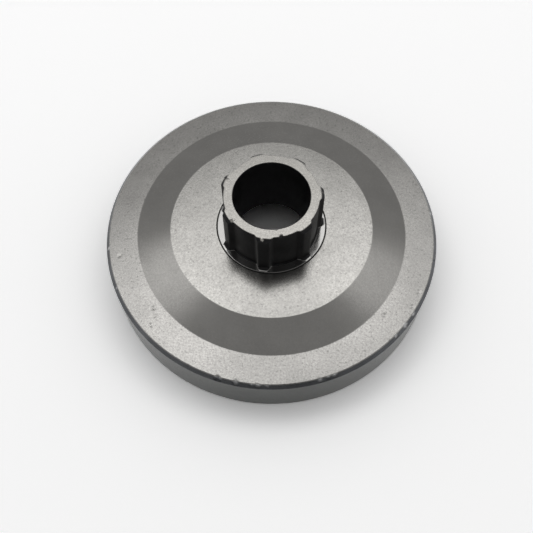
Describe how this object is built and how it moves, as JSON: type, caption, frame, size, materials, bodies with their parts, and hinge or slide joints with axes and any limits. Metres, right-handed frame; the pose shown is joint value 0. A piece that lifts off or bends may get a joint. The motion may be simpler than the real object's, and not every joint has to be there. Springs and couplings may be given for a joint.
{
  "type": "chainsaw clutch drum",
  "caption": "Round steel clutch drum of a chainsaw: a cup open at the bottom, with a raised cone, and a splined hub with a through bore on top.",
  "frame": {"origin": "centre of the open rim, on the drum's axis", "axes": "+Z along the axis, out of the hub; +X and +Y across it, with the first tooth 3.4 degrees from +X towards +Y"},
  "size_m": [0.073, 0.073, 0.0251],
  "materials": {
    "cup_steel": "bare dull grey steel, mottled flats, turned cone and wall",
    "hub_steel": "dark hardened steel with a ground end face"
  },
  "bodies": {
    "root": {"drum_cup": "cup_steel", "spline_hub": "hub_steel"}
  },
  "joints": []
}
